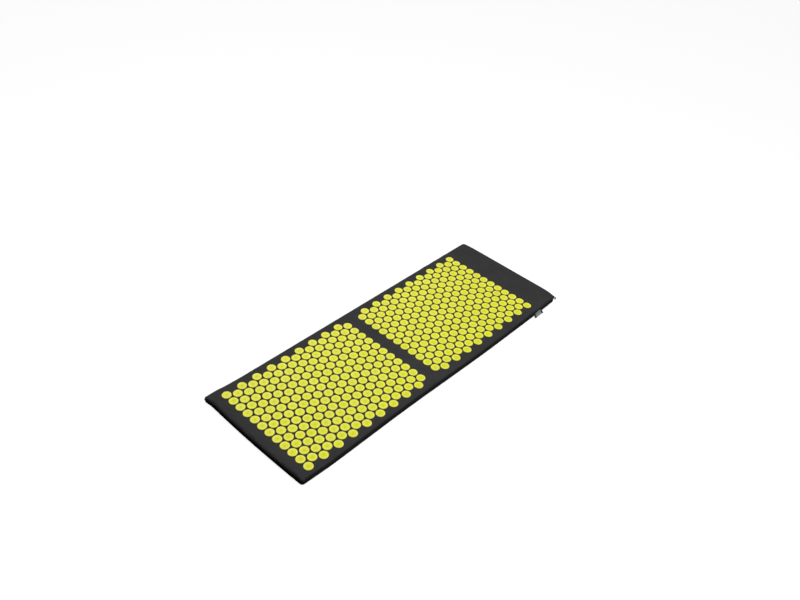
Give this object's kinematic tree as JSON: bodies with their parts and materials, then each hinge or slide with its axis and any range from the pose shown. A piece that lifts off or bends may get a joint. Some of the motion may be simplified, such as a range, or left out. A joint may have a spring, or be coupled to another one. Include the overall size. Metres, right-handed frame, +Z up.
{
  "type": "acupressure mat",
  "caption": "Flat foam mat in a zipped cloth cover, studded with two fields of round plastic spike discs, that folds across its bare middle strip.",
  "frame": {"origin": "on the floor, under the middle of the mat's outline", "axes": "+X across the mat, towards the side with the label and the zip pull; +Y along the mat, towards the head end with the zip; +Z up, out of the spike discs"},
  "size_m": [0.4749, 1.3215, 0.0315],
  "materials": {
    "cover_cloth": "matt charcoal woven cotton",
    "disc_plastic": "glossy moulded lime yellow plastic",
    "foam": "open cell grey foam",
    "zip_tape": "black woven polyester tape",
    "zip_teeth": "moulded black plastic",
    "zip_metal": "black lacquer on die cast metal",
    "ribbon": "grey green woven ribbon, dark at its ends"
  },
  "bodies": {
    "head_half": {"head_top_cloth": "cover_cloth", "head_underside_cloth": "cover_cloth", "head_foam": "foam", "zip_tape_upper": "zip_tape", "zip_tape_lower": "zip_tape", "zip_teeth_upper": "zip_teeth", "zip_teeth_lower": "zip_teeth", "zip_end_box": "zip_teeth", "zip_top_stop_upper": "zip_teeth", "zip_top_stop_lower": "zip_teeth", "side_label": "ribbon"},
    "foot_half": {"foot_top_cloth": "cover_cloth", "foot_underside_cloth": "cover_cloth", "foot_foam": "foam"},
    "zip_slider": {"zip_slider": "zip_metal"},
    "zip_pull": {"zip_pull": "zip_metal"}
  },
  "joints": [
    {"name": "fold", "type": "hinge", "parent": "head_half", "child": "foot_half", "pos_m": [0, -0.04435, 0.032], "axis": [-1, 0, 0], "range_deg": [0, 180]},
    {"name": "zip_slide", "type": "slide", "parent": "head_half", "child": "zip_slider", "axis": [-1, 0, 0], "range_m": [0, 0.415], "deforming": ["zip_teeth_upper", "zip_teeth_lower"]},
    {"name": "pull_swing", "type": "hinge", "parent": "zip_slider", "child": "zip_pull", "pos_m": [0.21115, 0.6614, 0.01375], "axis": [0, 0, 1], "range_deg": [0, 180]}
  ]
}
